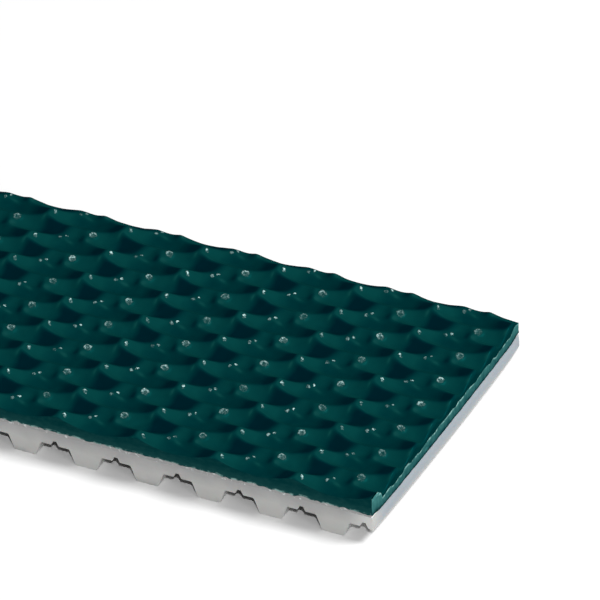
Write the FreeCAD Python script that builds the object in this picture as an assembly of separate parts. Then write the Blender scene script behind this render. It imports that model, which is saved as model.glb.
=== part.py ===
import FreeCAD, Part
import math
import os

# Driving dimensions of the toothed belt, in mm
belt_length = 100.0
belt_width = 50.0
tooth_pitch = 10.0
tooth_height = 2.5
tooth_root_width = 5.3
tooth_flank_angle = 20.0
tooth_root_radius = 0.4
tooth_tip_radius = 0.4
end_past_gap = 1.43

# Slot left in the roof of each tooth gap by the winding nose
slot_depth = 0.75
slot_base_width = 1.3
slot_top_width = 0.6

# Tension cords: six strands round a core, and the polyurethane that holds them
cord_diameter = 0.9
cord_groove_depth = 0.05
cord_gap = 0.7
cord_skin_below = 0.05
cord_skin_above = 0.3
cord_edge_cover = 1.0
cord_strands = 6

# Bond layer, and the coating from its foot to the tops of its highest crests
bond_thickness = 0.5
coating_thickness = 2.85

# Repeat of the scooped pattern, with its first place measured from the right end and from the middle line
pattern_length = 12.77
pattern_width = 6.6
pattern_end_offset = 11.47
pattern_side_offset = -11.3

# Facets of every scoop: its sides, its flat floor as shares of the scoop, and how far its corners stand out
scoop_sides = 8
scoop_floor_spread = 0.4
scoop_floor_rise = 0.06
scoop_corner_spread = 1.04

# How far every scoop goes on above the coating's top
scoop_overrun = 0.1


class Scoop:
    """One scoop of the repeat: its lowest point, its floor above the coating's foot and its sides' bends."""

    def __init__(self, along, across, floor, bend_left, bend_right, bend_near, bend_far):
        self.along = along
        self.across = across
        self.floor = floor
        self.bend_left = bend_left
        self.bend_right = bend_right
        self.bend_near = bend_near
        self.bend_far = bend_far


# The three scoops of one repeat, which meet in the crests
scoops = [
    Scoop(along=4.9, across=0.25, floor=1.4,
          bend_left=13.5, bend_right=15.5, bend_near=1.57, bend_far=3.7),
    Scoop(along=-1.65, across=3.45, floor=1.42,
          bend_left=14.0, bend_right=16.5, bend_near=1.45, bend_far=3.1),
    Scoop(along=5.0, across=3.1, floor=1.8,
          bend_left=10.0, bend_right=4.0, bend_near=4.5, bend_far=2.3),
]

# Levels, counted upward from the tooth tips
slot_top_level = tooth_height + slot_depth
cord_level = slot_top_level + cord_skin_below + cord_diameter / 2
back_level = cord_level + cord_diameter / 2 + cord_skin_above
coating_level = back_level + bond_thickness
top_level = coating_level + coating_thickness

# Ends and sides of the belt, counted from its middle
half_length = belt_length / 2
half_width = belt_width / 2
last_gap = half_length - end_past_gap


def point(along, across, level):
    return FreeCAD.Vector(along, across, level)


def repeats(first, step, reach):
    """Places at whole steps from the first one that lie within reach of the middle."""
    lowest = math.ceil((-reach - first) / step)
    highest = math.floor((reach - first) / step)
    return [first + step * number for number in range(lowest, highest + 1)]


def rounded_outline(corners):
    """Closed outline through corners given as (point, radius), each rounded by its own radius."""
    starts = []
    ends = []
    arcs = []
    for number, (corner, radius) in enumerate(corners):
        to_last = (corners[number - 1][0] - corner).normalize()
        to_next = (corners[(number + 1) % len(corners)][0] - corner).normalize()
        half_angle = to_last.getAngle(to_next) / 2
        reach = radius / math.tan(half_angle)
        starts.append(corner + to_last * reach)
        ends.append(corner + to_next * reach)
        if radius > 0:
            inward = (to_last + to_next).normalize()
            middle = corner + inward * (radius / math.sin(half_angle) - radius)
            arcs.append(Part.Arc(starts[-1], middle, ends[-1]).toShape())
    lines = []
    for number, end in enumerate(ends):
        following = starts[(number + 1) % len(starts)]
        lines.append(Part.LineSegment(end, following).toShape())
    return Part.Wire(Part.sortEdges(arcs + lines)[0])


def flat_face(corners):
    """Flat face inside a closed run of corners."""
    return Part.Face(Part.makePolygon(corners + corners[:1]))


def belt_block(bottom, top):
    """Block of the belt's length and width between two levels."""
    corner = point(-half_length, -half_width, bottom)
    return Part.makeBox(belt_length, belt_width, top - bottom, corner)


def cord_places():
    """Places of the cords across the belt, evenly spaced about its middle line."""
    spacing = cord_diameter + cord_gap
    room = belt_width - 2 * cord_edge_cover - cord_diameter
    count = math.floor(room / spacing) + 1
    return [spacing * (number - (count - 1) / 2) for number in range(count)]


def cord(across):
    """One tension cord from end to end of the belt, with a groove between each two outer strands."""
    crown = cord_diameter / 2
    groove = crown - cord_groove_depth
    corners = []
    for number in range(2 * cord_strands):
        angle = math.pi * number / cord_strands
        radius = groove if number % 2 else crown
        side = across + radius * math.sin(angle)
        level = cord_level + radius * math.cos(angle)
        corners.append(point(-half_length, side, level))
    return flat_face(corners).extrude(point(belt_length, 0, 0))


def gap_corners(gap):
    """Corners of one tooth gap with its slot, from the tooth tip on its left to the one on its right."""
    half_gap = (tooth_pitch - tooth_root_width) / 2
    half_mouth = half_gap + tooth_height * math.tan(math.radians(tooth_flank_angle))
    return [
        (point(gap - half_mouth, -half_width, 0), tooth_tip_radius),
        (point(gap - half_gap, -half_width, tooth_height), tooth_root_radius),
        (point(gap - slot_base_width / 2, -half_width, tooth_height), 0),
        (point(gap - slot_top_width / 2, -half_width, slot_top_level), 0),
        (point(gap + slot_top_width / 2, -half_width, slot_top_level), 0),
        (point(gap + slot_base_width / 2, -half_width, tooth_height), 0),
        (point(gap + half_gap, -half_width, tooth_height), tooth_root_radius),
        (point(gap + half_mouth, -half_width, 0), tooth_tip_radius),
    ]


def belt_body():
    """Toothed strip, extruded across the belt and cut to length, with a channel for each cord."""
    gaps = repeats(last_gap, tooth_pitch, half_length + tooth_pitch)
    strip_left = gaps[0] - tooth_pitch / 2
    strip_right = gaps[-1] + tooth_pitch / 2
    corners = [(point(strip_left, -half_width, 0), 0)]
    for gap in gaps:
        corners.extend(gap_corners(gap))
    corners.append((point(strip_right, -half_width, 0), 0))
    corners.append((point(strip_right, -half_width, back_level), 0))
    corners.append((point(strip_left, -half_width, back_level), 0))
    strip = Part.Face(rounded_outline(corners)).extrude(point(0, belt_width, 0))
    cords = [cord(across) for across in cord_places()]
    return strip.common(belt_block(0, back_level)).cut(cords)


def scoop_rise(scoop):
    """Height of a scoop from its floor to its end above the coating's top."""
    return coating_thickness + scoop_overrun - scoop.floor


def scoop_reach(scoop, bend):
    """How far one side of a scoop spreads over its whole rise."""
    return scoop_corner_spread * math.sqrt(2 * bend * scoop_rise(scoop))


def scoop_outline(scoop, spread, rise):
    """Outline round a scoop at a share of its spread and of its rise."""
    corners = []
    for number in range(scoop_sides):
        angle = 2 * math.pi * number / scoop_sides
        bend_along = scoop.bend_right if math.cos(angle) > 0 else scoop.bend_left
        bend_across = scoop.bend_far if math.sin(angle) > 0 else scoop.bend_near
        along = spread * scoop_reach(scoop, bend_along) * math.cos(angle)
        across = spread * scoop_reach(scoop, bend_across) * math.sin(angle)
        corners.append(point(along, across, scoop.floor + rise * scoop_rise(scoop)))
    return corners


def scoop_solid(scoop):
    """Room inside a scoop, from its flat floor up sloping flat sides, placed over the foot of the coating."""
    lower = scoop_outline(scoop, scoop_floor_spread, scoop_floor_rise)
    upper = scoop_outline(scoop, 1, 1)
    faces = [flat_face(lower), flat_face(upper)]
    for number in range(scoop_sides):
        faces.append(flat_face([lower[number - 1], lower[number], upper[number], upper[number - 1]]))
    shell = Part.Shell(faces)
    shell.sewShape()
    return Part.makeSolid(shell)


def pvc_coating():
    """Sheet with its whole face scooped out in the repeat, trimmed with the belt."""
    rooms = []
    for scoop in scoops:
        shape = scoop_solid(scoop)
        reach_along = scoop_reach(scoop, max(scoop.bend_left, scoop.bend_right))
        reach_across = scoop_reach(scoop, max(scoop.bend_near, scoop.bend_far))
        first_along = half_length - pattern_end_offset + scoop.along
        first_across = pattern_side_offset + scoop.across
        for along in repeats(first_along, pattern_length, half_length + reach_along):
            for across in repeats(first_across, pattern_width, half_width + reach_across):
                rooms.append(shape.translated(point(along, across, coating_level)))
    return belt_block(coating_level, top_level).cut(rooms)


def save(shape, name):
    shape.exportStep(f"parts/{name}.step")


os.makedirs("parts", exist_ok=True)
save(belt_body(), "belt_body")
for number, across in enumerate(cord_places(), start=1):
    save(cord(across), f"steel_cord_{number:02d}")
save(belt_block(back_level, coating_level), "bond_layer")
save(pvc_coating(), "pvc_coating")
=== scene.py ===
"""Looks of a cut length of toothed belt with a moulded grip coating on its back."""

from __future__ import annotations

import itertools
import logging
import math
from dataclasses import dataclass, replace
from enum import Enum, IntEnum

import bmesh
import bpy
import numpy as np
from bpy.types import Material, Node, NodeSocket, Object
from mathutils import Matrix, Vector

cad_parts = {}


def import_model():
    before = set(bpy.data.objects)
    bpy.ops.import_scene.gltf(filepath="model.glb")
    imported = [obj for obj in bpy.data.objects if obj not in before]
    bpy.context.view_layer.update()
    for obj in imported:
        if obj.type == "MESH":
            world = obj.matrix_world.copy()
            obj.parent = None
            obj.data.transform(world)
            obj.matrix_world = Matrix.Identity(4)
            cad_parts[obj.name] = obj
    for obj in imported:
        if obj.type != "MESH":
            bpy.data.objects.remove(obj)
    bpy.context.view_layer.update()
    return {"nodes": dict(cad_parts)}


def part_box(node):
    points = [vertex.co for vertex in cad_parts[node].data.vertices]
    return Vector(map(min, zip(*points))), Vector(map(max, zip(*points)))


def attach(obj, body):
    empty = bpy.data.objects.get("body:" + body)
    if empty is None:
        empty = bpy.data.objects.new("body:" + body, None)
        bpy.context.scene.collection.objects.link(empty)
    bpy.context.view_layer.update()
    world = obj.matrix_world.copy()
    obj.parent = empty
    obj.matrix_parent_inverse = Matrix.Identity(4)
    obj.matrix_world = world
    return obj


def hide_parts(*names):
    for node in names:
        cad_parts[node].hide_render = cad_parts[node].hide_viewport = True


LOG = logging.getLogger("belt")
MM = 0.001
BODY = "root"
NOISE_SPAN = (0.3, 0.7)
NOISE_REACH = 0.25
Colour = tuple[float, float, float]
Triple = tuple[float, float, float]
Range = tuple[float, float]
Face = tuple[int, ...]


class TipForm(Enum):
    """Form of a small tip on the coating's crests."""

    POINTED = "pointed"
    TWIN = "twin"
    DIMPLED = "dimpled"


class CoatingSlot(IntEnum):
    """Material slot of a face of the coating."""

    MOULDED = 0
    SIDE_CUT = 1
    END_CUT = 2


class BodySlot(IntEnum):
    """Material slot of a face of the toothed body."""

    CAST = 0
    CUT = 1


class CordLay(Enum):
    """Direction in which the strands of a cord turn."""

    LEFT = -1
    RIGHT = 1


@dataclass(frozen=True)
class Grain:
    """Noise with grains of about one size in metres, and finer noise in them."""

    size: float
    octaves: float = 4.0
    rough: float = 0.5
    stretch: Triple = (1.0, 1.0, 1.0)


class Shader:
    """Node graph of one material, with short calls for the nodes that the finishes share."""

    def __init__(self, name: str) -> None:
        """Start a material with a principled surface.

        Args:
            name: Name of the material.
        """
        self.material = bpy.data.materials.new(name)
        self.material.use_nodes = True
        self.nodes = self.material.node_tree.nodes
        self.links = self.material.node_tree.links
        self.nodes.clear()
        output = self.add("OutputMaterial")
        self.surface = self.add("BsdfPrincipled")
        self.links.new(self.surface.outputs["BSDF"], output.inputs["Surface"])

    def feed(self, socket: NodeSocket, value: object) -> None:
        """Link a socket to another one, or set it to plain numbers.

        Args:
            socket: Input of a node.
            value: Output of another node, or plain numbers.
        """
        if isinstance(value, NodeSocket):
            self.links.new(value, socket)
        else:
            socket.default_value = value

    def dress(self, node: Node, **inputs: object) -> None:
        """Feed inputs of a node, with underscores for the spaces of their names."""
        for name, value in inputs.items():
            self.feed(node.inputs[name.replace("_", " ")], value)

    def add(self, kind: str, **inputs: object) -> Node:
        """Add one node and feed its inputs.

        Args:
            kind: Kind of the node, without the words that start all kinds.
            inputs: Values of its inputs, with underscores for the spaces of their names.

        Returns:
            The node.
        """
        node = self.nodes.new("ShaderNode" + kind)
        self.dress(node, **inputs)
        return node

    def finish(self, **inputs: object) -> Material:
        """Feed the inputs of the surface and hand over the material."""
        self.dress(self.surface, **inputs)
        return self.material

    def place(self, stretch: Triple = (1.0, 1.0, 1.0)) -> NodeSocket:
        """Place on the piece in metres, stretched along its axes."""
        on_piece = self.add("TexCoord").outputs["Object"]
        return self.add("Mapping", Vector=on_piece, Scale=stretch).outputs["Vector"]

    def noise(self, grain: Grain) -> NodeSocket:
        """Value of a noise at each place on the piece.

        Args:
            grain: The noise.

        Returns:
            The value, for the most part within the span of a noise.
        """
        node = self.add(
            "TexNoise", Vector=self.place(grain.stretch),
            Scale=1.0 / grain.size, Detail=grain.octaves, Roughness=grain.rough,
        )
        return node.outputs["Fac"]

    def attribute(self, name: str) -> NodeSocket:
        """Value stored on the mesh.

        Args:
            name: Name of the stored value.

        Returns:
            The value.
        """
        node = self.add("Attribute")
        node.attribute_name = name
        return node.outputs["Fac"]

    def level(self) -> NodeSocket:
        """Height on the piece in metres."""
        return self.add("SeparateXYZ", Vector=self.place()).outputs["Z"]

    def seen(self) -> NodeSocket:
        """1 where the piece is seen, straight or mirrored, and 0 for light that bounces off it."""
        path = self.add("LightPath").outputs
        return self.join("MAXIMUM", path["Is Camera Ray"], path["Is Glossy Ray"], path["Is Transmission Ray"])

    def join(self, operation: str, *values: NodeSocket) -> NodeSocket:
        """Join values in their order by one operation.

        Args:
            operation: Name of the operation.
            values: The values.

        Returns:
            The joined value.
        """
        joined = values[0]
        for value in values[1:]:
            node = self.add("Math")
            node.operation = operation
            self.feed(node.inputs[0], joined)
            self.feed(node.inputs[1], value)
            joined = node.outputs["Value"]
        return joined

    def vector(self, operation: str, *values: object) -> NodeSocket:
        """Result of one operation on vectors.

        Args:
            operation: Name of the operation.
            values: Its vectors, as numbers or as sockets.

        Returns:
            The vector, or the value of a length or a dot product.
        """
        node = self.add("VectorMath")
        node.operation = operation
        for socket, value in zip(node.inputs, values):
            self.feed(socket, value)
        return node.outputs["Value" if operation in ("LENGTH", "DOT_PRODUCT") else "Vector"]

    def shaken(self, place: NodeSocket, size: float, reach: float) -> NodeSocket:
        """Place on the piece, shifted a little from grain to grain.

        Args:
            place: Place before the shift.
            size: Size of a grain in metres.
            reach: Shift in metres that few grains pass.

        Returns:
            The shifted place.
        """
        node = self.add("TexNoise", Vector=self.place(), Scale=1.0 / size)
        swing = reach / NOISE_REACH
        shift = self.vector("MULTIPLY_ADD", node.outputs["Color"], (swing,) * 3, (-swing / 2,) * 3)
        return self.vector("ADD", place, shift)

    def spread(self, source: NodeSocket, span: Range, result: Range = (0.0, 1.0)) -> NodeSocket:
        """Map one range of a value to another, held at its ends.

        Args:
            source: Value to map.
            span: Values that become the ends of the result.
            result: Range of the result.

        Returns:
            The mapped value.
        """
        node = self.add(
            "MapRange", Value=source,
            From_Min=span[0], From_Max=span[1], To_Min=result[0], To_Max=result[1],
        )
        return node.outputs["Result"]

    def blend(self, share: NodeSocket, low: object, high: object) -> NodeSocket:
        """Blend two colours.

        Args:
            share: Share of the second colour.
            low: First colour, as numbers or as a socket.
            high: Second colour, as numbers or as a socket.

        Returns:
            The blended colour.
        """
        node = self.add("Mix")
        node.data_type = "RGBA"
        colour_inputs = [socket for socket in node.inputs if socket.type == "RGBA"]
        for socket, colour in zip(colour_inputs, (low, high)):
            self.feed(socket, (*colour, 1.0) if isinstance(colour, tuple) else colour)
        self.feed(node.inputs[0], share)
        return next(socket for socket in node.outputs if socket.type == "RGBA")

    def bump(self, height: NodeSocket, depth: float, strength: float) -> None:
        """Give the surface fine relief of a depth in metres, of which a share shows."""
        node = self.add("Bump", Strength=strength, Distance=depth, Height=height)
        self.feed(self.surface.inputs["Normal"], node.outputs["Normal"])


@dataclass(frozen=True)
class Glint:
    """Painted highlight on a tip: a small spot, or an arch over a dimple."""

    reach: float
    strength: float = 1.0
    along: float = 0.0
    across: float = 0.0
    arch: float = 0.0


@dataclass(frozen=True)
class MouldedCoatingFinish:
    """Glossy dark green moulded face of the coating, with painted shade and painted light on its scoops,
    painted sheen on its crests and painted highlights on its tips.
    """

    repeat_length: float
    repeat_width: float
    glints: tuple[Glint, ...]
    # Colours of the painted shade and light: lee is the painted shade, floor the mid tone of a scoop, slope
    # the painted light, crest the painted sheen and bright the painted highlight
    lee: Colour = (0.0, 0.016, 0.024)
    floor: Colour = (0.0, 0.033, 0.037)
    slope: Colour = (0.0015, 0.05, 0.049)
    crest: Colour = (0.01, 0.085, 0.08)
    bright: Colour = (0.66, 0.95, 0.93)
    edge_sheen: Colour = (0.0, 0.2, 0.25)
    metallic: float = 0.15

    # Spans of the painted shade and of the painted sheen
    floor_span: Range = (0.2, 0.55)
    lee_span: Range = (0.55, 0.85)
    crest_span: Range = (0.12, 0.38)
    crest_share: Range = (0.45, 0.0)

    # Clouds, fading and flecks of the painted highlights, haze and pores
    clouds: Grain = Grain(2.2 * MM, 3.0)
    cloud_shade: Range = (-0.07, 0.07)
    # Noise that fades the painted highlights from patch to patch
    wear_and_glint_fade: Grain = Grain(3.7 * MM, 1.0)
    wear_and_glint_fade_span: Range = (0.35, 0.6)
    glint_fade_share: Range = (0.35, 1.0)
    flecks: Grain = Grain(0.25 * MM, 2.0, 0.6)
    fleck_span: Range = (0.43, 0.57)
    fleck_share: Range = (0.08, 1.0)
    haze: Grain = Grain(0.8 * MM)
    roughness: Range = (0.3, 0.42)
    pores: Grain = Grain(0.5 * MM, 3.0)
    pore_depth: float = 0.02 * MM
    pore_strength: float = 0.5

    # Stray and form of the painted highlights on the tips
    shift_size: float = 4.0 * MM
    shift: float = 0.2 * MM
    shake_size: float = 0.3 * MM
    shake: float = 0.13 * MM
    spot_core: float = 0.55
    lit_side: Triple = (-0.7, 0.7, 0.0)
    arch_span: Range = (-0.9, 0.3)
    arch_share: Range = (0.15, 1.0)

    def glint_mask(self, shader: Shader, glint: Glint, place: NodeSocket) -> NodeSocket:
        """Strength of one painted highlight and its copies in every repeat.

        Args:
            shader: Graph that the mask is part of.
            glint: The glint, at the place of one copy.
            place: Place on the piece.

        Returns:
            The strength, from 0 to 1.
        """
        half = Vector((self.repeat_length / 2, self.repeat_width / 2, 0.0))
        counted = shader.vector("SUBTRACT", place, (glint.along, glint.across, 0.0))
        nearest = shader.vector("WRAP", counted, half, -half)
        away = shader.vector("LENGTH", nearest)
        fading = (glint.strength, 0.0)
        if glint.arch == 0.0:
            return shader.spread(away, (self.spot_core * glint.reach, glint.reach), fading)
        outer = shader.spread(away, (glint.arch, glint.arch + glint.reach), fading)
        inner = shader.spread(away, (glint.arch - glint.reach, glint.arch))
        far_left = shader.vector("DOT_PRODUCT", nearest, self.lit_side)
        arch_from, arch_to = self.arch_span
        lit_side = shader.spread(far_left, (arch_from * glint.arch, arch_to * glint.arch), self.arch_share)
        return shader.join("MULTIPLY", outer, inner, lit_side)

    def make(self) -> Material:
        """Make the material, with painted shade in the lee of the crests, painted sheen on them and painted
        highlights on the tips.

        Returns:
            The material.
        """
        shader = Shader("moulded_coating")
        # Painted shade and light: the stored shade, with random clouds, picks the lee, floor or slope colour
        clouds = shader.spread(shader.noise(self.clouds), NOISE_SPAN, self.cloud_shade)
        lee = shader.join("ADD", shader.attribute("lee"), clouds)
        shaded = shader.blend(shader.spread(lee, self.floor_span), self.slope, self.floor)
        shaded = shader.blend(shader.spread(lee, self.lee_span), shaded, self.lee)
        # Painted sheen on the lit side of the crests
        lit_crest = shader.spread(lee, self.crest_span, self.crest_share)
        crest = shader.join("MULTIPLY", shader.attribute("crest"), lit_crest)
        shaded = shader.blend(crest, shaded, self.crest)
        # Painted highlights on the tips, faded from patch to patch and broken into flecks
        coarse = shader.shaken(shader.place(), self.shift_size, self.shift)
        place = shader.shaken(coarse, self.shake_size, self.shake)
        masks = [self.glint_mask(shader, glint, place) for glint in self.glints]
        glint_fade = shader.spread(shader.noise(self.wear_and_glint_fade), self.wear_and_glint_fade_span, self.glint_fade_share)
        flecks = shader.spread(shader.noise(self.flecks), self.fleck_span, self.fleck_share)
        shine = shader.join("MULTIPLY", glint_fade, flecks, shader.join("MAXIMUM", *masks))
        shader.bump(shader.noise(self.pores), self.pore_depth, self.pore_strength)
        return shader.finish(
            Base_Color=shader.blend(shine, shaded, self.bright),
            Roughness=shader.spread(shader.noise(self.haze), NOISE_SPAN, self.roughness),
            Metallic=self.metallic, Specular_IOR_Level=0.0, Specular_Tint=(*self.edge_sheen, 1.0),
        )


@dataclass(frozen=True)
class CutCoatingFinish:
    """Knife-cut edge of the coating, which fades from one level to another."""

    name: str
    dark: Colour
    pale: Colour
    dark_level: float
    pale_level: float
    streaks: Grain
    burr_from: float
    # Bright broken line: a painted highlight along the burr of the end, and pale flecks along the foot of the
    # sides
    burr: Colour = (0.35, 0.64, 0.6)
    level_share: Range = (0.0, 0.6)
    streak_span: Range = (0.35, 0.75)
    streak_share: Range = (0.0, 0.4)
    streak_depth: float = 0.04 * MM
    streak_strength: float = 0.6
    breaks: Grain = Grain(0.9 * MM, 3.0, 0.6)
    break_fade: float = 0.18
    burr_span: Range = (0.1, 0.7)
    roughness: Range = (0.45, 0.36)

    def make(self) -> Material:
        """Make the material with the streaks of the knife and a bright broken line, a painted highlight along
        the burr of the end and pale flecks along the foot of the sides.

        Returns:
            The material.
        """
        shader = Shader(self.name)
        streaks = shader.noise(self.streaks)
        paleness = shader.spread(shader.level(), (self.dark_level, self.pale_level), self.level_share)
        paleness = shader.join("ADD", paleness, shader.spread(streaks, self.streak_span, self.streak_share))
        cut = shader.blend(paleness, self.dark, self.pale)
        # Painted highlight along the burr of the end, and pale flecks along the foot of the sides, broken
        # into pieces
        broken = shader.spread(shader.noise(self.breaks), (self.burr_from, self.burr_from + self.break_fade))
        burr = shader.join("MULTIPLY", shader.spread(shader.attribute("burr"), self.burr_span), broken)
        shader.bump(streaks, self.streak_depth, self.streak_strength)
        return shader.finish(
            Base_Color=shader.blend(burr, cut, self.burr),
            Roughness=shader.spread(streaks, NOISE_SPAN, self.roughness),
            Specular_IOR_Level=0.0,
        )


@dataclass(frozen=True)
class PolyurethaneFinish:
    """Pale grey cast polyurethane of the toothed belt."""

    name: str
    pale: Colour
    # Painted shade up under the coating, darker than the pale colour of the teeth
    shaded_top: Colour
    # Painted light that brightens the near right corner and the rising flanks of the gaps
    painted_light: Colour
    # Painted shade in the gaps, broken into clouds
    gap_shade: Colour = (0.09, 0.09, 0.085)
    top_shading_levels: Range = (2.2 * MM, 4.4 * MM)
    clouds: Grain = Grain(5.0 * MM, 5.0, 0.55)
    cloud_top_shading: Range = (-0.35, 0.35)
    gap_shade_clouds: Grain = Grain(2.5 * MM, 4.0, 0.6)
    gap_shade_span: Range = (0.3, 0.6)
    gap_shade_share: Range = (0.7, 1.0)
    drag: Grain = Grain(0.5 * MM, 4.0, 0.6, (0.25, 1.0, 1.0))
    drag_depth: float = 0.03 * MM
    drag_strength: float = 0.5
    roughness: Range = (0.42, 0.6)
    specular: float = 0.2
    scatter: float = 0.1
    scatter_depth: float = 0.6 * MM

    def make(self) -> Material:
        """Make the material, with painted shade that darkens it towards the coating, painted shade in the
        gaps, drag marks, and painted light on the near right corner and the flanks.

        Returns:
            The material.
        """
        shader = Shader(self.name)
        clouds = shader.spread(shader.noise(self.clouds), NOISE_SPAN, self.cloud_top_shading)
        # Painted shade: lighter towards the teeth, darker up under the coating, with random clouds
        top_shading = shader.join("ADD", shader.spread(shader.level(), self.top_shading_levels), clouds)
        cast = shader.blend(shader.spread(top_shading, (0.0, 1.0)), self.pale, self.shaded_top)
        # Painted light on the near right corner and the rising flanks
        cast = shader.blend(shader.attribute("painted_light"), cast, self.painted_light)
        gap_shade_clouds = shader.spread(shader.noise(self.gap_shade_clouds), self.gap_shade_span, self.gap_shade_share)
        # Painted shade in the gaps where the stored share asks for it
        gap_shade = shader.join("MULTIPLY", shader.attribute("gap_shade"), gap_shade_clouds)
        drag = shader.noise(self.drag)
        shader.bump(drag, self.drag_depth, self.drag_strength)
        return shader.finish(
            Base_Color=shader.blend(gap_shade, cast, self.gap_shade),
            Roughness=shader.spread(drag, NOISE_SPAN, self.roughness),
            Specular_IOR_Level=self.specular,
            Subsurface_Weight=self.scatter, Subsurface_Scale=self.scatter_depth,
        )


@dataclass(frozen=True)
class BondFinish:
    """Pale film that bonds the coating to the belt."""

    grey: Colour = (0.5, 0.5, 0.5)
    white: Colour = (0.9, 0.94, 0.93)
    specks: Grain = Grain(0.55 * MM, 4.0, 0.6)
    speck_span: Range = (0.55, 0.68)
    speck_depth: float = 0.05 * MM
    speck_strength: float = 0.6
    rough_span: Range = (0.4, 0.7)
    roughness: Range = (0.55, 0.4)
    specular: float = 0.3

    def make(self) -> Material:
        """Make the material with small whitish specks.

        Returns:
            The material.
        """
        shader = Shader("bond_film")
        specks = shader.noise(self.specks)
        shader.bump(specks, self.speck_depth, self.speck_strength)
        return shader.finish(
            Base_Color=shader.blend(shader.spread(specks, self.speck_span), self.grey, self.white),
            Roughness=shader.spread(specks, self.rough_span, self.roughness),
            Specular_IOR_Level=self.specular,
        )


@dataclass(frozen=True)
class SteelFinish:
    """Bright drawn steel of the tension cords."""

    bright: Colour = (0.62, 0.62, 0.64)
    dull: Colour = (0.42, 0.42, 0.45)
    wear_and_glint_fade: Grain = Grain(0.2 * MM, 3.0)
    wear_and_glint_fade_span: Range = (0.35, 0.65)
    wear_depth: float = 0.01 * MM
    wear_strength: float = 0.4
    roughness: Range = (0.28, 0.5)

    def make(self) -> Material:
        """Make the material with fine wear on the wire.

        Returns:
            The material.
        """
        shader = Shader("drawn_steel")
        wear_and_glint_fade = shader.noise(self.wear_and_glint_fade)
        shader.bump(wear_and_glint_fade, self.wear_depth, self.wear_strength)
        return shader.finish(
            Base_Color=shader.blend(shader.spread(wear_and_glint_fade, self.wear_and_glint_fade_span), self.bright, self.dull),
            Roughness=shader.spread(wear_and_glint_fade, NOISE_SPAN, self.roughness),
            Metallic=1.0,
        )


@dataclass(frozen=True)
class FloorFinish:
    """White studio floor that keeps the shadow of the belt."""

    white: Colour = (1.0, 1.0, 1.0)
    off_white: Colour = (0.99, 0.99, 0.99)
    bounced: Colour = (0.27, 0.27, 0.27)
    fibres: Grain = Grain(3.0 * MM)

    def make(self) -> Material:
        """Make the matt floor with the faint grain of studio paper, which throws little light back up.

        Returns:
            The material.
        """
        shader = Shader("studio_floor")
        fibres = shader.spread(shader.noise(self.fibres), NOISE_SPAN)
        paper = shader.blend(fibres, self.off_white, self.white)
        colour = shader.blend(shader.seen(), self.bounced, paper)
        return shader.finish(Base_Color=colour, Roughness=1.0, Specular_IOR_Level=0.0)


def add_piece(name: str, points: np.ndarray, faces: list[Face], materials: list[Material]) -> Object:
    """Make a mesh object with outward faces.

    Args:
        name: Name of the piece.
        points: Places of the points in metres.
        faces: Point numbers of each face.
        materials: Finishes of the piece, in the order of its slots.

    Returns:
        The new object, linked to the scene.
    """
    mesh = bpy.data.meshes.new(name)
    mesh.from_pydata(points.tolist(), [], [tuple(int(number) for number in face) for face in faces])
    turned = bmesh.new()
    turned.from_mesh(mesh)
    bmesh.ops.recalc_face_normals(turned, faces=turned.faces[:])
    turned.to_mesh(mesh)
    turned.free()
    for material in materials:
        mesh.materials.append(material)
    piece = bpy.data.objects.new(name, mesh)
    bpy.context.scene.collection.objects.link(piece)
    return piece


def paint(piece: Object, name: str, values: np.ndarray) -> None:
    """Store one value at every point of a mesh for its finishes."""
    piece.data.attributes.new(name, "FLOAT", "POINT").data.foreach_set("value", values)


def soften(piece: Object, crease: float) -> None:
    """Shade a piece smooth, apart from edges that turn by more than an angle in degrees."""
    piece.data.shade_smooth()
    piece.data.set_sharp_from_angle(angle=math.radians(crease))


def stand_for(piece: Object, node: str) -> None:
    """Let a piece ride with the belt in the place of one solid.

    Args:
        piece: The piece.
        node: Name of the solid.
    """
    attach(piece, BODY)
    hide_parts(node)


def smooth_step(value: np.ndarray) -> np.ndarray:
    """Rise smoothly from 0 to 1 over the same range."""
    held = np.clip(value, 0.0, 1.0)
    return held * held * (3.0 - 2.0 * held)


def band_faces(first: np.ndarray, second: np.ndarray) -> list[Face]:
    """Four-sided faces between two closed rings, given by the numbers of their points."""
    return list(zip(first, np.roll(first, -1), np.roll(second, -1), second))


def tube_faces(sections: int, around: int) -> list[Face]:
    """Faces between rings that follow each other, given by how many they are and their points."""
    rings = np.arange(sections * around).reshape(sections, around)
    return [face for first, second in zip(rings, rings[1:]) for face in band_faces(first, second)]


@dataclass(frozen=True)
class Run:
    """Smooth random run along a slanting line, followed by others with numbers of their own."""

    seed: int
    turn: float
    slant: float = 0.0
    widening: float = 0.0

    def values(self, places: np.ndarray, beside: np.ndarray | float = 0.0, number: int = 0) -> np.ndarray:
        """Values of one run, from -1 to 1.

        Args:
            places: Places along the belt or across it, in metres.
            beside: Places in the other direction, which the slant counts in.
            number: Number of the run, counted from the first one.

        Returns:
            One value for each place.
        """
        steps = (places + self.slant * beside) / (self.turn + number * self.widening)
        first = int(math.floor(steps.min())) - 1
        count = int(math.ceil(steps.max())) - first + 3
        ends = np.random.default_rng(self.seed + number).uniform(-1.0, 1.0, count)
        whole = np.floor(steps).astype(int)
        share = smooth_step(steps - whole)
        return ends[whole - first] * (1.0 - share) + ends[whole - first + 1] * share


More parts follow.
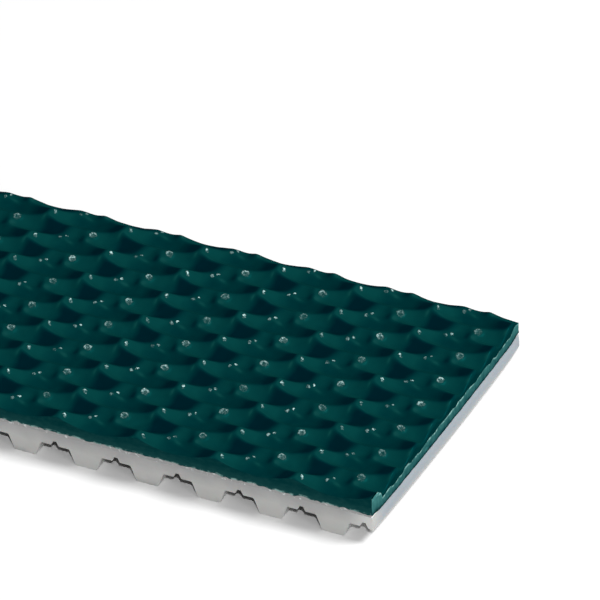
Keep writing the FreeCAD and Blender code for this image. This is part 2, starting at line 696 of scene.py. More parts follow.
@dataclass(frozen=True)
class Scoop:
    """Long bowl that one float of the mould's weave leaves in the coating, with painted light at its left end
    and painted shade at its right.
    """

    along: float
    across: float
    floor: float
    bend_left: float
    bend_right: float
    bend_near: float
    bend_far: float
    lit_shade: float
    lit_to: float
    lit_fade: float
    dark_from: float
    dark_fade: float
    dark_reach: float = 9.0 * MM
    floor_shade: float = 0.55
    dark_shade: float = 0.9

    def height(self, along: np.ndarray, across: np.ndarray) -> np.ndarray:
        """Height of the bowl above the coating's foot.

        Args:
            along: Places along the belt, counted from the bowl's lowest point.
            across: Places across the belt, counted from there.

        Returns:
            Heights in metres.
        """
        bend_along = np.where(along < 0.0, self.bend_left, self.bend_right)
        bend_across = np.where(across < 0.0, self.bend_near, self.bend_far)
        return self.floor + along ** 2 / (2 * bend_along) + across ** 2 / (2 * bend_across)

    def shade(self, along: np.ndarray, across: np.ndarray) -> np.ndarray:
        """Painted shade on the bowl, from the painted light at its left end to the painted shade in the lee
        of the next crest.

        Args:
            along: Places along the belt, counted from the bowl's lowest point.
            across: Places across the belt, counted from there.

        Returns:
            Shades from 0 to 1.
        """
        dim = smooth_step((along - self.lit_to) / self.lit_fade + 0.5)
        dark = smooth_step((along - self.dark_from) / self.dark_fade + 0.5)
        dark *= np.exp(-(across / self.dark_reach) ** 4)
        floor_rise = self.floor_shade - self.lit_shade
        return self.lit_shade + floor_rise * dim + (self.dark_shade - self.floor_shade) * dark


@dataclass(frozen=True)
class LitPatch:
    """Patch of painted light on a slope beside a tip, where it turns to the light."""

    along: float
    across: float
    reach_along: float
    reach_across: float
    fall: float = 0.0

    def share(self, along: np.ndarray, across: np.ndarray) -> np.ndarray:
        """Share of the painted light on the patch.

        Args:
            along: Places along the belt, counted from the tip.
            across: Places across the belt, counted from there.

        Returns:
            Shares from 0 to 1.
        """
        beside = along - self.along
        below = across - self.across + self.fall * beside
        return np.exp(-(beside / self.reach_along) ** 2 - (below / self.reach_across) ** 2)


@dataclass(frozen=True)
class Tip:
    """Small tip that the mould pulls up beside a crest, formed in shares of its reach."""

    form: TipForm
    along: float
    across: float
    patch: LitPatch
    glints: tuple[Glint, ...]
    rise: float = 0.2 * MM
    reach: float = 0.28 * MM
    lean: float = 0.5
    length: float = 1.6
    ring: float = 1.7
    rim: float = 0.8

    def height(self, along: np.ndarray, across: np.ndarray) -> np.ndarray:
        """Height that the tip adds to the face.

        Args:
            along: Places along the belt, counted from the tip's middle.
            across: Places across the belt, counted from there.

        Returns:
            Heights in metres.
        """
        along = along / self.reach
        across = across / self.reach
        if self.form is TipForm.POINTED:
            away = [np.hypot(along + self.lean * across, across / self.length)]
        elif self.form is TipForm.TWIN:
            away = [np.hypot(along - 1.0, across - 1.0), np.hypot(along + 1.0, across + 1.0)]
        else:
            away = [(np.hypot(along, across) - self.ring) / self.rim]
        return self.rise * sum(np.exp(-share ** 2) for share in away)


@dataclass
class Coating:
    """Moulded sheet with its repeated scoops, crests and tips, trimmed with the belt."""

    repeat_length: float = 12.77 * MM
    repeat_width: float = 6.6 * MM
    end_offset: float = 11.47 * MM
    side_offset: float = -11.3 * MM
    grid: float = 0.25 * MM

    # Crests, and how far the pattern strays
    crest_round: float = 0.12 * MM
    crest_lift: float = 0.12 * MM
    crest_width: float = 0.22 * MM
    smoothing: int = 4
    scoop_shift: float = 0.18 * MM
    shift_along: Run = Run(91, 7.0 * MM, 2.3)
    shift_across: Run = Run(92, 7.0 * MM, -1.7)
    unevenness: float = 0.08 * MM
    swell_along: Run = Run(93, 1.6 * MM, 0.6)
    swell_across: Run = Run(94, 1.2 * MM, -0.5)

    # Painted shade and painted light that the scoops and tips lay on the face
    shade_round: float = 0.2 * MM
    lee_slope: float = 0.2
    far_light: float = 0.25
    patch_light: float = 0.35
    wall_shade: float = 0.5

    # Cut walls with their foot and burr
    wall_levels: int = 6
    smeared_levels: int = 2
    foot_wander: float = 0.13 * MM
    foot_run: Run = Run(5, 0.9 * MM, 2.0)
    foot_fine_run: Run = Run(6, 0.35 * MM, -1.0)
    foot_fine_share: float = 0.7
    foot_end_share: float = 0.4
    foot_lap: float = 0.9 * MM
    lap_at_sides: float = 0.55
    lap_lost: float = 0.8
    corner_round: float = 3.0 * MM
    flap: float = 0.08 * MM
    burr_level: float = 0.92 * MM
    burr_wave: float = 0.108 * MM
    burr_wander: float = 0.216 * MM
    burr_run: Run = Run(17, 1.0 * MM)
    end_tear: float = 0.1 * MM
    tear_run: Run = Run(11, 1.4 * MM)

    # Torn near right corner and its lip
    torn_corner: float = 3.4 * MM
    lip: float = 0.6 * MM
    lip_fall: float = 1.1 * MM

    # Scoops and tips of one repeat, and the finishes of the cuts
    scoops: tuple[Scoop, ...] = (
        Scoop(along=4.9 * MM, across=0.25 * MM, floor=1.4 * MM,
              bend_left=13.5 * MM, bend_right=15.5 * MM, bend_near=1.57 * MM, bend_far=3.7 * MM,
              lit_shade=0.1, lit_to=-2.8 * MM, lit_fade=4.0 * MM, dark_from=4.2 * MM, dark_fade=3.0 * MM),
        Scoop(along=-1.65 * MM, across=3.45 * MM, floor=1.42 * MM,
              bend_left=14.0 * MM, bend_right=16.5 * MM, bend_near=1.45 * MM, bend_far=3.1 * MM,
              lit_shade=0.27, lit_to=-0.4 * MM, lit_fade=6.0 * MM, dark_from=0.7 * MM, dark_fade=1.8 * MM),
        Scoop(along=5.0 * MM, across=3.1 * MM, floor=1.8 * MM,
              bend_left=10.0 * MM, bend_right=4.0 * MM, bend_near=4.5 * MM, bend_far=2.3 * MM,
              lit_shade=0.3, lit_to=0.3 * MM, lit_fade=2.4 * MM, dark_from=0.9 * MM, dark_fade=0.9 * MM,
              dark_reach=0.9 * MM),
    )
    tips: tuple[Tip, ...] = (
        Tip(TipForm.POINTED, along=-0.4 * MM, across=0.81 * MM,
            patch=LitPatch(-1.1 * MM, -1.5 * MM, 0.3 * MM, 0.7 * MM),
            glints=(Glint(0.252 * MM), Glint(0.252 * MM, 0.25, 0.168 * MM, -0.308 * MM))),
        Tip(TipForm.TWIN, along=3.39 * MM, across=2.54 * MM,
            patch=LitPatch(1.4 * MM, -0.6 * MM, 0.9 * MM, 0.3 * MM, 0.3),
            glints=(Glint(0.252 * MM, 1.0, 0.336 * MM, 0.336 * MM),
                    Glint(0.308 * MM, 0.45, -0.336 * MM, -0.336 * MM))),
        Tip(TipForm.DIMPLED, along=7.5 * MM, across=4.4 * MM,
            patch=LitPatch(-0.3 * MM, -1.4 * MM, 0.6 * MM, 0.6 * MM, 0.3),
            glints=(Glint(0.196 * MM, 0.7, arch=0.42 * MM), Glint(0.392 * MM, 0.12))),
    )
    side_cut: CutCoatingFinish = CutCoatingFinish(
        name="side_cut", dark=(0.001, 0.05, 0.055), pale=(0.018, 0.1, 0.1),
        dark_level=6.6 * MM, pale_level=5.1 * MM,
        streaks=Grain(1.2 * MM, 3.0, stretch=(1.0, 1.0, 2.0)), burr_from=0.46,
    )
    end_cut: CutCoatingFinish = CutCoatingFinish(
        name="end_cut", dark=(0.003, 0.055, 0.062), pale=(0.06, 0.23, 0.22),
        dark_level=4.4 * MM, pale_level=6.0 * MM,
        streaks=Grain(1.0 * MM, 3.0, stretch=(1.0, 1.0, 0.8)), burr_from=0.45,
    )

    def first(self, mark: Scoop | Tip, right_end: float) -> tuple[float, float]:
        """Place, along and across the belt, of one copy of a scoop or a tip."""
        return right_end - self.end_offset + mark.along, self.side_offset + mark.across

    def copies(self, x: np.ndarray, y: np.ndarray, mark: Scoop | Tip,
               right_end: float) -> list[tuple[np.ndarray, np.ndarray]]:
        """Places counted from the nearest copies of a scoop or a tip.

        Args:
            x: Places along the belt.
            y: Places across the belt.
            mark: The scoop or the tip.
            right_end: Place of the belt's right end.

        Returns:
            Pairs of places along and across, one for each copy near by.
        """
        pairs = []
        first_x, first_y = self.first(mark, right_end)
        column = np.round((x - first_x) / self.repeat_length)
        row = np.round((y - first_y) / self.repeat_width)
        for column_step, row_step in itertools.product((-1, 0, 1), repeat=2):
            along = x - first_x - (column + column_step) * self.repeat_length
            across = y - first_y - (row + row_step) * self.repeat_width
            pairs.append((along, across))
        return pairs

    def scooped(self, x: np.ndarray, y: np.ndarray, right_end: float) -> tuple[np.ndarray, ...]:
        """Scooped face above the coating's foot, without its tips.

        Args:
            x: Places along the belt.
            y: Places across the belt.
            right_end: Place of the belt's right end.

        Returns:
            Heights in metres, shares from 0 in the scoops to 1 on the crests between them, which carry the
            painted sheen, and painted shades.
        """
        bowls = []
        shades = []
        shifted_x = x + self.scoop_shift * self.shift_along.values(x, y)
        shifted_y = y + self.scoop_shift * self.shift_across.values(y, x)
        for scoop in self.scoops:
            for along, across in self.copies(shifted_x, shifted_y, scoop, right_end):
                bowls.append(scoop.height(along, across))
                shades.append(scoop.shade(along, across))
        heights = np.stack(bowls)
        lowest = np.partition(heights, 1, axis=0)[:2]
        # Share of each place near a crest, which carries the painted sheen
        crest = np.exp((lowest[0] - lowest[1]) / self.crest_width)
        shares = np.exp(-heights / self.shade_round)
        shade = (np.stack(shades) * shares).sum(axis=0) / shares.sum(axis=0)
        smooth = self.crest_lift - self.crest_round * np.log(np.exp(-heights / self.crest_round).sum(axis=0))
        for _ in range(self.smoothing):
            padded = np.pad(smooth, ((1, 1), (0, 0)), mode="edge")
            smooth = (padded[:-2] + 2 * smooth + padded[2:]) / 4
        swell = self.swell_along.values(x, y) * self.swell_across.values(y, x)
        return smooth + self.unevenness * swell, crest, shade

    def pulled(self, x: np.ndarray, y: np.ndarray, right_end: float) -> tuple[np.ndarray, np.ndarray]:
        """Tips on the scooped face and the painted light beside them.

        Args:
            x: Places along the belt.
            y: Places across the belt.
            right_end: Place of the belt's right end.

        Returns:
            Heights that the tips add, in metres, and shares of the painted light on their patches.
        """
        height = np.zeros_like(x)
        lit = np.zeros_like(x)
        for tip in self.tips:
            for along, across in self.copies(x, y, tip, right_end):
                height += tip.height(along, across)
                lit += tip.patch.share(along, across)
        return height, lit

    def face(self, low: Vector, high: Vector) -> tuple[np.ndarray, ...]:
        """Moulded face with the lip at its torn near right corner.

        Args:
            low: Lowest corner of the coating.
            high: Highest corner of the coating.

        Returns:
            Points with one row for each line along the belt, painted shades, and shares of the painted sheen
            on the crests and of the painted light beside the tips.
        """
        columns = round((high.x - low.x) / self.grid) + 1
        rows = round((high.y - low.y) / self.grid) + 1
        x, y = np.meshgrid(np.linspace(low.x, high.x, columns), np.linspace(low.y, high.y, rows))
        scooped, crest, shade = self.scooped(x, y, high.x)
        tips, lit = self.pulled(x, y, high.x)
        rise_far, rise_right = np.gradient(scooped, y[:, 0], x[0])
        # Painted shade: darker where the face rises to the right, with painted light beside the tips and on
        # slopes that face the near side
        shade = shade + self.lee_slope * rise_right - self.patch_light * lit
        shade -= self.far_light * np.clip(-rise_far, 0.0, 1.0)
        z = np.minimum(low.z + scooped + tips, high.z)
        lip = smooth_step((x - high.x) / self.lip + 1.0)
        lip *= smooth_step((low.y + self.torn_corner - y) / self.grid)
        lip_top = high.z - self.lip_fall * (y - low.y) / self.torn_corner
        z += np.maximum(lip_top - z, 0.0) * lip
        return np.stack([x, y, z], -1), shade, np.maximum(crest, lit)

    def wall_ring(self, rim: np.ndarray, level: int, low: Vector, high: Vector) -> np.ndarray:
        """One ring of the cut walls between the moulded face and the foot.

        The right end is smeared smooth by the knife down to a wavy burr, and torn below and at its corners.

        Args:
            rim: Points along the edge of the moulded face.
            level: Number of the ring, counted down from the moulded face.
            low: Lowest corner of the coating.
            high: Highest corner of the coating.

        Returns:
            Points of the ring.
        """
        ring = rim.copy()
        along, across, top = rim.T
        at_end = along > high.x - self.grid / 2
        ragged = self.foot_run.values(along, across)
        ragged += self.foot_fine_share * self.foot_fine_run.values(along, across)
        middle = 1.0 - (across / high.y) ** 2
        corner = smooth_step((np.abs(across) - high.y) / self.corner_round + 1.0)
        lap = self.lap_at_sides + (1.0 - self.lap_at_sides) * middle
        lap *= self.foot_lap * (1.0 - self.lap_lost * corner)
        foot = low.z + self.foot_wander * ragged * np.where(at_end, self.foot_end_share, 1.0)
        foot -= np.where(at_end, lap, 0.0)
        burr = low.z + self.burr_level + self.burr_wander * self.burr_run.values(across)
        burr += self.burr_wave * np.cos(2 * math.pi * across / self.repeat_width)
        near_corner = smooth_step((low.y + self.torn_corner - across) / self.grid)
        far_corner = smooth_step((across - high.y) / self.torn_corner + 1.0)
        burr = np.minimum(burr + (top - burr) * np.maximum(near_corner, far_corner), top)
        if level <= self.smeared_levels:
            end = top + (burr - top) * level / self.smeared_levels
        else:
            torn_share = (level - self.smeared_levels) / (self.wall_levels - self.smeared_levels)
            end = burr + (foot - burr) * torn_share
        ring[:, 2] = np.where(at_end, end, top + (foot - top) * level / self.wall_levels)
        if level not in (self.smeared_levels, self.wall_levels):
            ring[:, 0] -= at_end * self.end_tear * np.abs(self.tear_run.values(across, number=level))
        return ring

    def walls(self, rim: np.ndarray, low: Vector, high: Vector) -> list[np.ndarray]:
        """Cut walls from the moulded face down to the foot, and in under its flap.

        Args:
            rim: Points along the edge of the moulded face.
            low: Lowest corner of the coating.
            high: Highest corner of the coating.

        Returns:
            Rings of points, in their order from the moulded face.
        """
        rings = [self.wall_ring(rim, level, low, high) for level in range(1, self.wall_levels + 1)]
        rings.append(rings[-1] * (1.0 - self.flap / high.x, 1.0 - self.flap / high.y, 1.0))
        rings.append(np.column_stack([rings[-1][:, :2], np.full(len(rim), low.z)]))
        return rings

    def finishes(self, right_end: float) -> list[Material]:
        """Finishes of the coating.

        Args:
            right_end: Place of the belt's right end.

        Returns:
            The materials in the order of the slots.
        """
        glints = []
        for tip in self.tips:
            first_x, first_y = self.first(tip, right_end)
            for glint in tip.glints:
                glints.append(replace(glint, along=first_x + glint.along, across=first_y + glint.across))
        moulded = MouldedCoatingFinish(self.repeat_length, self.repeat_width, tuple(glints))
        return [moulded.make(), self.side_cut.make(), self.end_cut.make()]

    def build(self) -> Object:
        """Build the coating as one closed mesh in the place of its solid.

        Returns:
            The coating.
        """
        low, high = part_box("pvc_coating")
        face, shade, crest = self.face(low, high)
        points = face.reshape(-1, 3)
        number = np.arange(len(points)).reshape(shade.shape)
        corners = (number[:-1, :-1], number[:-1, 1:], number[1:, 1:], number[1:, :-1])
        faces = np.column_stack([corner.ravel() for corner in corners]).tolist()
        slots = [CoatingSlot.MOULDED.value] * len(faces)
        rim = np.concatenate([number[0, :-1], number[:-1, -1], number[-1, :0:-1], number[:0:-1, 0]])
        at_end = points[rim, 0] > high.x - self.grid / 2
        rings = self.walls(points[rim], low, high)
        above = rim
        for level in range(1, len(rings) + 1):
            below = np.arange(len(rim)) + len(points) + (level - 1) * len(rim)
            faces += band_faces(above, below)
            end_slot = CoatingSlot.MOULDED if level <= self.smeared_levels else CoatingSlot.END_CUT
            slots += np.where(at_end & np.roll(at_end, -1), end_slot, CoatingSlot.SIDE_CUT).tolist()
            above = below
        faces.append(above[::-1])
        slots.append(CoatingSlot.SIDE_CUT.value)
        piece = add_piece("moulded_coating", np.vstack([points, *rings]), faces, self.finishes(high.x))
        piece.data.polygons.foreach_set("material_index", slots)
        piece.data.polygons.foreach_set("use_smooth", [slot != CoatingSlot.SIDE_CUT for slot in slots])
        # Burr line: painted highlight along the burr of the end, pale flecks along the foot of the sides
        burr = np.zeros((len(rings), len(rim)))
        burr[self.smeared_levels - 1] = at_end
        burr[self.wall_levels - 1] = ~at_end
        # Painted shade and the shares of the painted sheen at every point, with a mid painted shade on the
        # walls
        paint(piece, "lee", np.concatenate([shade.ravel(), np.full(burr.size, self.wall_shade)]))
        paint(piece, "crest", np.concatenate([crest.ravel(), np.zeros(burr.size)]))
        paint(piece, "burr", np.concatenate([np.zeros(len(points)), burr.ravel()]))
        stand_for(piece, "pvc_coating")
        return piece


@dataclass
class ToothedBody:
    """Cast belt with its teeth, the winding slots in the gaps and its knife-cut sides."""

    pitch: float = 10.0 * MM
    tooth_height: float = 2.5 * MM
    tooth_root: float = 5.3 * MM
    flank: float = 20.0
    corner: float = 0.4 * MM
    end_past_gap: float = 1.43 * MM
    slot_depth: float = 0.75 * MM
    slot_base: float = 1.3 * MM
    slot_top: float = 0.6 * MM

    # Right end, where the knife has dragged the underside down
    end_round: float = 0.2 * MM
    hang: float = 1.1 * MM
    hang_along: float = 0.85 * MM
    hang_round: float = 3.0 * MM
    hang_bow: float = 0.5
    hang_lost_far: float = 0.6
    hang_lost_near: float = 0.35
    lean: float = 0.1 * MM
    lean_from: float = 3.3 * MM
    lean_along: float = 0.3 * MM

    # Uneven sides and ends
    side_bevel: float = 0.05 * MM
    side_wave: float = 0.03 * MM
    side_run: Run = Run(31, 1.5 * MM, widening=2.0 * MM)
    end_dip: float = 0.06 * MM
    end_run: Run = Run(51, 1.3 * MM)

    # Painted light on the near right corner and the rising flanks, and painted shade in the gaps
    painted_light_along: float = 5.0 * MM
    painted_light_across: float = 4.5 * MM
    flank_light: float = 0.7
    shade_free_end: float = 0.6 * MM
    shade_free_fade: float = 1.2 * MM

    # Mesh and finishes
    crease: float = 35.0
    step: float = 0.5 * MM
    across_steps: int = 40
    side_steps: int = 5
    arc_steps: int = 6
    cast: PolyurethaneFinish = PolyurethaneFinish(
        "cast_polyurethane", pale=(0.76, 0.76, 0.74), shaded_top=(0.57, 0.57, 0.57), painted_light=(0.97, 0.97, 0.95),
    )
    cut: PolyurethaneFinish = PolyurethaneFinish(
        "cut_polyurethane", pale=(0.385, 0.43, 0.47), shaded_top=(0.365, 0.413, 0.455), painted_light=(0.56, 0.56, 0.53),
    )

    def gap_corners(self, gap: float) -> list[tuple[float, float, float]]:
        """Corners of one gap with its slot.

        Args:
            gap: Place of the middle of the gap.

        Returns:
            Place along the belt, level and rounding of each corner.
        """
        half_gap = (self.pitch - self.tooth_root) / 2
        half_mouth = half_gap + self.tooth_height * math.tan(math.radians(self.flank))
        top = self.tooth_height + self.slot_depth
        half = [
            (half_mouth, 0.0, self.corner),
            (half_gap, self.tooth_height, self.corner),
            (self.slot_base / 2, self.tooth_height, 0.0),
            (self.slot_top / 2, top, 0.0),
        ]
        left = [(gap - away, level, rounding) for away, level, rounding in half]
        right = [(gap + away, level, rounding) for away, level, rounding in reversed(half)]
        return left + right

    def rounded(self, corners: list[tuple[float, float, float]]) -> list[Vector]:
        """Points along an open outline whose corners are rounded by arcs.

        Args:
            corners: Place along the belt, level and rounding of each corner.

        Returns:
            Places along the belt and levels.
        """
        points = []
        for number, (along, level, rounding) in enumerate(corners):
            corner = Vector((along, level))
            if rounding == 0.0 or number in (0, len(corners) - 1):
                points.append(corner)
                continue
            before = (Vector(corners[number - 1][:2]) - corner).normalized()
            after = (Vector(corners[number + 1][:2]) - corner).normalized()
            half_angle = before.angle(after) / 2
            reach = rounding / math.tan(half_angle)
            centre = corner + (before + after).normalized() * (rounding / math.sin(half_angle))
            start = (corner + before * reach - centre).normalized()
            end = (corner + after * reach - centre).normalized()
            for step in range(self.arc_steps + 1):
                points.append(centre + start.slerp(end, step / self.arc_steps) * rounding)
        return points

    def under_side(self, left: float, right: float) -> np.ndarray:
        """Places and levels along the toothed face from end to end of the belt.

        Args:
            left: Place of the left end.
            right: Place of the right end.

        Returns:
            One row for each point, with its place along the belt and its level.
        """
        gaps = int((right - left) / self.pitch) + 2
        corners = [(right - self.end_past_gap - gaps * self.pitch, 0.0, 0.0)]
        for number in range(gaps - 1, -2, -1):
            corners += self.gap_corners(right - self.end_past_gap - number * self.pitch)
        along, level = np.array(self.rounded(corners)).T
        regular = np.arange(left, right, self.step)
        rounding = right - self.end_round * (1.0 - np.sin(np.linspace(0.0, math.pi / 2, self.arc_steps)))
        inside = along[(along > left) & (along < right)]
        places = np.unique(np.concatenate([regular, inside, rounding, [right]]).round(8))
        levels = np.interp(places, along, level)
        past = np.clip((places - right + self.end_round) / self.end_round, 0.0, 1.0)
        levels += self.end_round * (1.0 - np.sqrt(1.0 - past ** 2))
        return np.column_stack([places, levels])

    def hung(self, along: np.ndarray, across: np.ndarray, high: Vector) -> np.ndarray:
        """Depths to which the knife has dragged the underside down at the right end.

        Args:
            along: Places along the belt.
            across: Places across the belt.
            high: Highest corner of the belt.

        Returns:
            Depths in metres, with one row for each place along the belt.
        """
        share = smooth_step((along - high.x) / self.hang_along + 1.0)
        far = smooth_step((across - high.y) / self.hang_round + 1.0)
        near = smooth_step((-across - high.y) / self.hang_round + 1.0)
        bow = 1.0 - self.hang_bow * (across / high.y) ** 2
        bow *= 1.0 - self.hang_lost_far * far - self.hang_lost_near * near
        return self.hang * np.outer(share, bow)

    def section(self, along: np.ndarray, level: np.ndarray, low: Vector, high: Vector) -> np.ndarray:
        """Rings of points round the belt, one at each place along it.

        Args:
            along: Places along the belt.
            level: Level of the toothed face at each place.
            low: Lowest corner of the belt.
            high: Highest corner of the belt.

        Returns:
            Points, with one row of points for each ring.
        """
        share = np.linspace(0.0, 1.0, self.across_steps + 1)
        bottom_y = low.y + self.side_bevel + share * (high.y - low.y - 2 * self.side_bevel)
        top_y = high.y - share[1:-1] * (high.y - low.y)
        climb = np.linspace(0.0, 1.0, self.side_steps + 1)
        bottom_z = level[:, None] - self.hung(along, bottom_y, high)
        near_edge = bottom_z[:, :1] + self.side_bevel
        far_edge = bottom_z[:, -1:] + self.side_bevel
        near_z = (near_edge + climb * (high.z - near_edge))[:, ::-1]
        far_z = far_edge + climb * (high.z - far_edge)
        runs = [self.side_run.values(along, number=step) for step in range(self.side_steps + 1)]
        wave = self.side_wave * np.abs(np.column_stack(runs))
        count = len(along)
        near_y = (low.y + wave)[:, ::-1]
        y = np.hstack([np.tile(bottom_y, (count, 1)), high.y - wave, np.tile(top_y, (count, 1)), near_y])
        top_z = np.full((count, len(top_y)), high.z)
        z = np.hstack([bottom_z, far_z, top_z, near_z])
        lean = self.lean * np.clip((along - high.x) / self.lean_along + 1.0, 0.0, 1.0)
        x = along[:, None] - lean[:, None] * smooth_step((z - self.lean_from) / (high.z - self.lean_from))
        return np.stack([x, y, z], -1)

    def end_cap(self, ring: np.ndarray, first: int, start: int,
                inward: float) -> tuple[np.ndarray, list[Face]]:
        """Face over one end of the belt, a little uneven from the knife.

        Args:
            ring: Points of the last ring.
            first: Number of the ring's first point.
            start: Number of the first new point.
            inward: Direction into the belt along its length.

        Returns:
            New points and the faces of the cap.
        """
        across = self.across_steps
        side = self.side_steps
        far = across + 1
        top = far + side + 1
        near = top + across - 1
        rows = [[first + number for number in range(across + 1)]]
        points = []
        for step in range(side):
            near_point = near + side - step
            far_point = far + step
            row = [first + near_point]
            for number in range(1, across):
                share = number / across
                point = ring[near_point] * (1 - share) + ring[far_point] * share
                point[0] += inward * self.end_dip * abs(self.end_run.values(point[1:2], number=step)[0])
                row.append(start + len(points))
                points.append(point)
            rows.append(row + [first + far_point])
        rows.append([first + number for number in range(near, far + side - 1, -1)])
        faces = []
        for lower, upper in zip(rows, rows[1:]):
            faces += zip(lower, lower[1:], upper[1:], upper)
        return np.array(points), faces

    def paint_light_and_shade(self, piece: Object, points: np.ndarray, outline: np.ndarray, low: Vector, high: Vector) -> None:
        """Store where light and shade are painted: painted light on the near right corner and on the rising
        flanks of the gaps, and painted shade in the gaps.

        Args:
            piece: The belt.
            points: Its points, ring by ring and then those of its ends.
            outline: Place along the belt and level of the toothed face for each ring.
            low: Lowest corner of the belt.
            high: Highest corner of the belt.
        """
        around = 2 * (self.across_steps + self.side_steps + 1)
        # Painted light on the near right corner and, below, on the flanks that rise towards the roof
        painted_light = smooth_step((points[:, 0] - high.x) / self.painted_light_along + 1.0)
        painted_light *= smooth_step((low.y - points[:, 1]) / self.painted_light_across + 1.0)
        flanks = np.zeros((len(outline), around))
        rising = np.clip(np.gradient(outline[:, 1], outline[:, 0]), 0.0, 1.0)
        flanks[:, :self.across_steps + 1] = self.flank_light * rising[:, None]
        painted_light[:flanks.size] = np.maximum(painted_light[:flanks.size], flanks.ravel())
        # Painted shade in the gaps, deeper towards the roof and left off near the right end
        gaps = np.zeros_like(flanks)
        gaps[:, 1:self.across_steps] = np.clip(outline[:, 1:] / self.tooth_height, 0.0, 1.0)
        gaps *= smooth_step((high.x - outline[:, :1] - self.shade_free_end) / self.shade_free_fade)
        paint(piece, "painted_light", painted_light)
        paint(piece, "gap_shade", np.concatenate([gaps.ravel(), np.zeros(len(points) - gaps.size)]))

    def build(self) -> Object:
        """Build the toothed belt as one closed mesh in the place of its solid.

        Returns:
            The belt.
        """
        low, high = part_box("belt_body")
        outline = self.under_side(low.x, high.x)
        rings = self.section(outline[:, 0], outline[:, 1] + low.z, low, high)
        sections, around = rings.shape[:2]
        points = rings.reshape(-1, 3)
        faces = tube_faces(sections, around)
        for ring, first, inward in ((rings[0], 0, 1.0), (rings[-1], (sections - 1) * around, -1.0)):
            cap_points, cap_faces = self.end_cap(ring, first, len(points), inward)
            points = np.vstack([points, cap_points])
            faces += cap_faces
        piece = add_piece("toothed_body", points, faces, [self.cast.make(), self.cut.make()])
        # The last cap is the right end, which shows the cut
        slots = [BodySlot.CAST.value] * (len(faces) - len(cap_faces)) + [BodySlot.CUT.value] * len(cap_faces)
        piece.data.polygons.foreach_set("material_index", slots)
        self.paint_light_and_shade(piece, points, outline, low, high)
        soften(piece, self.crease)
        stand_for(piece, "belt_body")
        return piece


@dataclass
class BondLine:
    """Thin film between the belt and its coating, uneven where it is squeezed out."""

    inset: float = 0.04 * MM
    end_inset: float = 0.2 * MM
    side_inset: float = 0.01 * MM
    squeeze: float = 0.03 * MM
    squeeze_run: Run = Run(71, 0.8 * MM, 2.0)
    lap: float = 0.15 * MM
    step: float = 0.4 * MM
    levels: int = 4
    crease: float = 40.0

    def build(self) -> Object:
        """Build the film as one closed mesh in the place of its solid.

        Returns:
            The film.
        """
        low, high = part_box("bond_layer")
        along = np.linspace(low.x, high.x, round((high.x - low.x) / self.step) + 1)
        across = np.linspace(low.y, high.y, round((high.y - low.y) / self.step) + 1)
        walk = np.concatenate([
            np.column_stack([along[:-1], np.full(len(along) - 1, low.y)]),
            np.column_stack([np.full(len(across) - 1, high.x), across[:-1]]),
            np.column_stack([along[:0:-1], np.full(len(along) - 1, high.y)]),
            np.column_stack([np.full(len(across) - 1, low.x), across[:0:-1]]),
        ])
        middle = np.array([(low.x + high.x) / 2, (low.y + high.y) / 2])
        reach = np.array([high.x - middle[0] - self.end_inset, high.y - middle[1] - self.side_inset])
        rings = []
        for level in range(self.levels + 1):
            squeezed = self.squeeze * np.abs(self.squeeze_run.values(walk[:, 0], walk[:, 1], level))
            shrink = self.inset - squeezed[:, None]
            outer = np.sign(walk - middle) * (np.abs(walk - middle) - shrink)
            ring = middle + np.clip(outer, -reach, reach)
            z = low.z + level / self.levels * (high.z + self.lap - low.z)
            rings.append(np.column_stack([ring, np.full(len(walk), z)]))
        points = np.vstack(rings)
        faces = tube_faces(self.levels + 1, len(walk))
        faces.append(tuple(range(len(walk)))[::-1])
        faces.append(tuple(range(len(points) - len(walk), len(points))))
        piece = add_piece("bond_line", points, faces, [BondFinish().make()])
        soften(piece, self.crease)
        stand_for(piece, "bond_layer")
        return piece


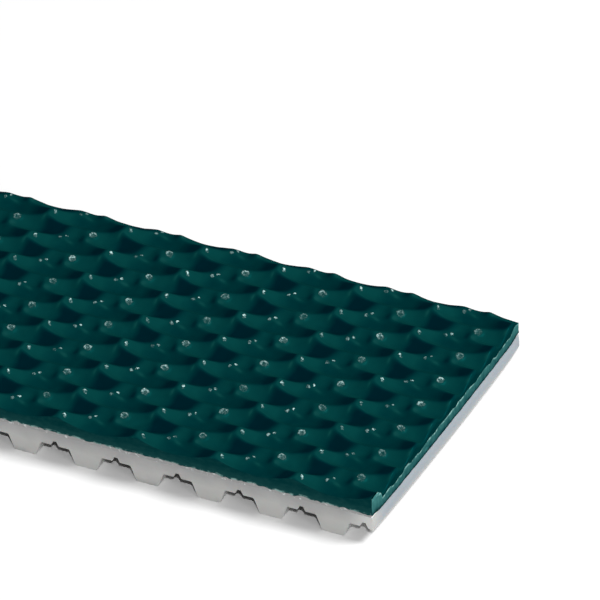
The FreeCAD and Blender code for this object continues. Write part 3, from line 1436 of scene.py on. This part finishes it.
@dataclass
class TensionCords:
    """Steel cords of six strands laid round a core, cut flush at the left end of the belt."""

    strands: int = 6
    points_per_strand: int = 4
    groove: float = 0.09
    lay_length: float = 9.0 * MM
    step: float = 2.5 * MM
    end_skin: float = 0.2 * MM
    dome: float = 0.03 * MM
    cap_rings: int = 3
    crease: float = 50.0

    def cap(self, ring: np.ndarray, middle: np.ndarray, outward: float) -> np.ndarray:
        """Points over one cut end, with a low dome on each strand.

        Args:
            ring: Points of the last ring.
            middle: Middle of the cord at that end.
            outward: Direction out of the cord along its length.

        Returns:
            Points of the inner rings and then the middle point.
        """
        rows = []
        for number in range(1, self.cap_rings + 1):
            share = 1.0 - number / (self.cap_rings + 1)
            row = middle + (ring - middle) * share
            row[:, 0] += outward * self.dome * math.sin(math.pi * share)
            rows.append(row)
        return np.vstack(rows + [middle[None, :]])

    def build_one(self, node: str, lay: CordLay, finish: Material) -> Object:
        """Build one cord in the place of its solid.

        Args:
            node: Name of the cord's solid.
            lay: Direction in which its strands turn.
            finish: Steel of the cord.

        Returns:
            The cord.
        """
        low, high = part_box(node)
        middle_y = (low.y + high.y) / 2
        middle_z = (low.z + high.z) / 2
        left = low.x + self.dome
        right = high.x - self.end_skin
        sections = round((right - left) / self.step) + 1
        around = self.strands * self.points_per_strand
        turn = np.linspace(0.0, 2 * math.pi, around, endpoint=False)
        grooves = self.groove * (1.0 - np.abs(np.cos(self.strands * turn / 2)))
        reach = (high.z - low.z) / 2 * (1.0 - grooves)
        rings = []
        for along in np.linspace(left, right, sections):
            twisted = turn + lay.value * 2 * math.pi * (along - left) / self.lay_length
            y = middle_y + reach * np.sin(twisted)
            z = middle_z + reach * np.cos(twisted)
            rings.append(np.column_stack([np.full(around, along), y, z]))
        points = np.vstack(rings)
        faces = tube_faces(sections, around)
        for ring, first, outward in ((rings[0], 0, -1.0), (rings[-1], (sections - 1) * around, 1.0)):
            middle = np.array([ring[0, 0], middle_y, middle_z])
            outer = np.arange(around) + first
            for number in range(self.cap_rings):
                inner = np.arange(around) + len(points) + number * around
                faces += band_faces(outer, inner)
                outer = inner
            points = np.vstack([points, self.cap(ring, middle, outward)])
            faces += zip(outer, np.roll(outer, -1), [len(points) - 1] * around)
        piece = add_piece(node.replace("steel", "laid"), points, faces, [finish])
        soften(piece, self.crease)
        stand_for(piece, node)
        return piece

    def build(self, nodes: list[str]) -> list[Object]:
        """Build all cords, with lays that change from one cord to the next.

        Args:
            nodes: Names of the cords' solids.

        Returns:
            The cords.
        """
        finish = SteelFinish().make()
        lays = itertools.cycle((CordLay.LEFT, CordLay.RIGHT))
        return [self.build_one(node, lay, finish) for node, lay in zip(nodes, lays)]


@dataclass(frozen=True)
class Lamp:
    """Round soft light that faces the belt, with its place and width in metres and its power in watts."""

    name: str
    place: Triple
    size: float
    power: float

    def hang(self) -> None:
        """Hang the light in the scene."""
        data = bpy.data.lights.new(self.name, "AREA")
        data.shape = "DISK"
        data.size = self.size
        data.energy = self.power
        lamp = bpy.data.objects.new(self.name, data)
        lamp.location = Vector(self.place)
        lamp.rotation_mode = "QUATERNION"
        lamp.rotation_quaternion = (-Vector(self.place)).to_track_quat("-Z", "Y")
        bpy.context.scene.collection.objects.link(lamp)


@dataclass
class Studio:
    """White floor, three lights in an even room and the camera of the photograph."""

    azimuth: float = 27.3945
    elevation: float = 34.7215
    roll: float = -2.286
    distance: float = 1228.04 * MM
    lens: float = 495.8
    sensor: float = 36.0
    target: Triple = (16.6646 * MM, 19.5098 * MM, 5.0 * MM)
    sight: float = 20.0
    floor_size: float = 6.0
    fill: float = 0.17
    lamps: tuple[Lamp, ...] = (
        Lamp("key", (0.64, -1.07, 1.1), size=0.07, power=9.7),
        Lamp("side", (1.2, -0.55, 0.35), size=0.3, power=3.2),
        Lamp("top", (1.2, 0.43, 1.6), size=0.8, power=34.0),
    )

    def camera(self) -> None:
        """Place the camera at the photograph's viewpoint."""
        azimuth = math.radians(self.azimuth)
        elevation = math.radians(self.elevation)
        roll = math.radians(self.roll)
        back = Vector((
            math.sin(azimuth) * math.cos(elevation),
            -math.cos(azimuth) * math.cos(elevation),
            math.sin(elevation),
        ))
        level = Vector((math.cos(azimuth), math.sin(azimuth), 0.0))
        up = back.cross(level)
        right = level * math.cos(roll) + up * math.sin(roll)
        rolled_up = up * math.cos(roll) - level * math.sin(roll)
        data = bpy.data.cameras.new("camera")
        data.lens = self.lens
        data.sensor_width = self.sensor
        data.clip_end = self.sight
        camera = bpy.data.objects.new("camera", data)
        turn = Matrix((right, rolled_up, back)).transposed().to_4x4()
        camera.matrix_world = Matrix.Translation(Vector(self.target) + back * self.distance) @ turn
        bpy.context.scene.collection.objects.link(camera)
        bpy.context.scene.camera = camera

    def floor(self) -> None:
        """Lay the white floor under the teeth."""
        half = self.floor_size / 2
        corners = np.array([[-half, -half, 0.0], [half, -half, 0.0], [half, half, 0.0], [-half, half, 0.0]])
        add_piece("studio_floor", corners, [(0, 1, 2, 3)], [FloorFinish().make()])

    def lights(self) -> None:
        """Hang a key light over the camera, and a low one and a high one at the right, in an even room."""
        for lamp in self.lamps:
            lamp.hang()
        world = bpy.data.worlds.new("room")
        world.use_nodes = True
        background = world.node_tree.nodes["Background"]
        background.inputs["Color"].default_value = (1.0, 1.0, 1.0, 1.0)
        background.inputs["Strength"].default_value = self.fill
        bpy.context.scene.world = world
        bpy.context.scene.view_settings.view_transform = "Standard"

    def build(self) -> None:
        """Set up the floor, the lights and the camera."""
        self.floor()
        self.lights()
        self.camera()


def main() -> None:
    """Build the belt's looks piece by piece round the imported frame."""
    logging.basicConfig(level=logging.INFO, format="%(name)s: %(message)s")
    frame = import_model()
    cords = sorted(name for name in frame["nodes"] if name.startswith("steel_cord"))
    pieces = [Coating().build(), BondLine().build(), ToothedBody().build(), *TensionCords().build(cords)]
    for piece in pieces:
        LOG.info("built %s with %d faces", piece.name, len(piece.data.polygons))
    Studio().build()


if __name__ == "__main__":
    main()
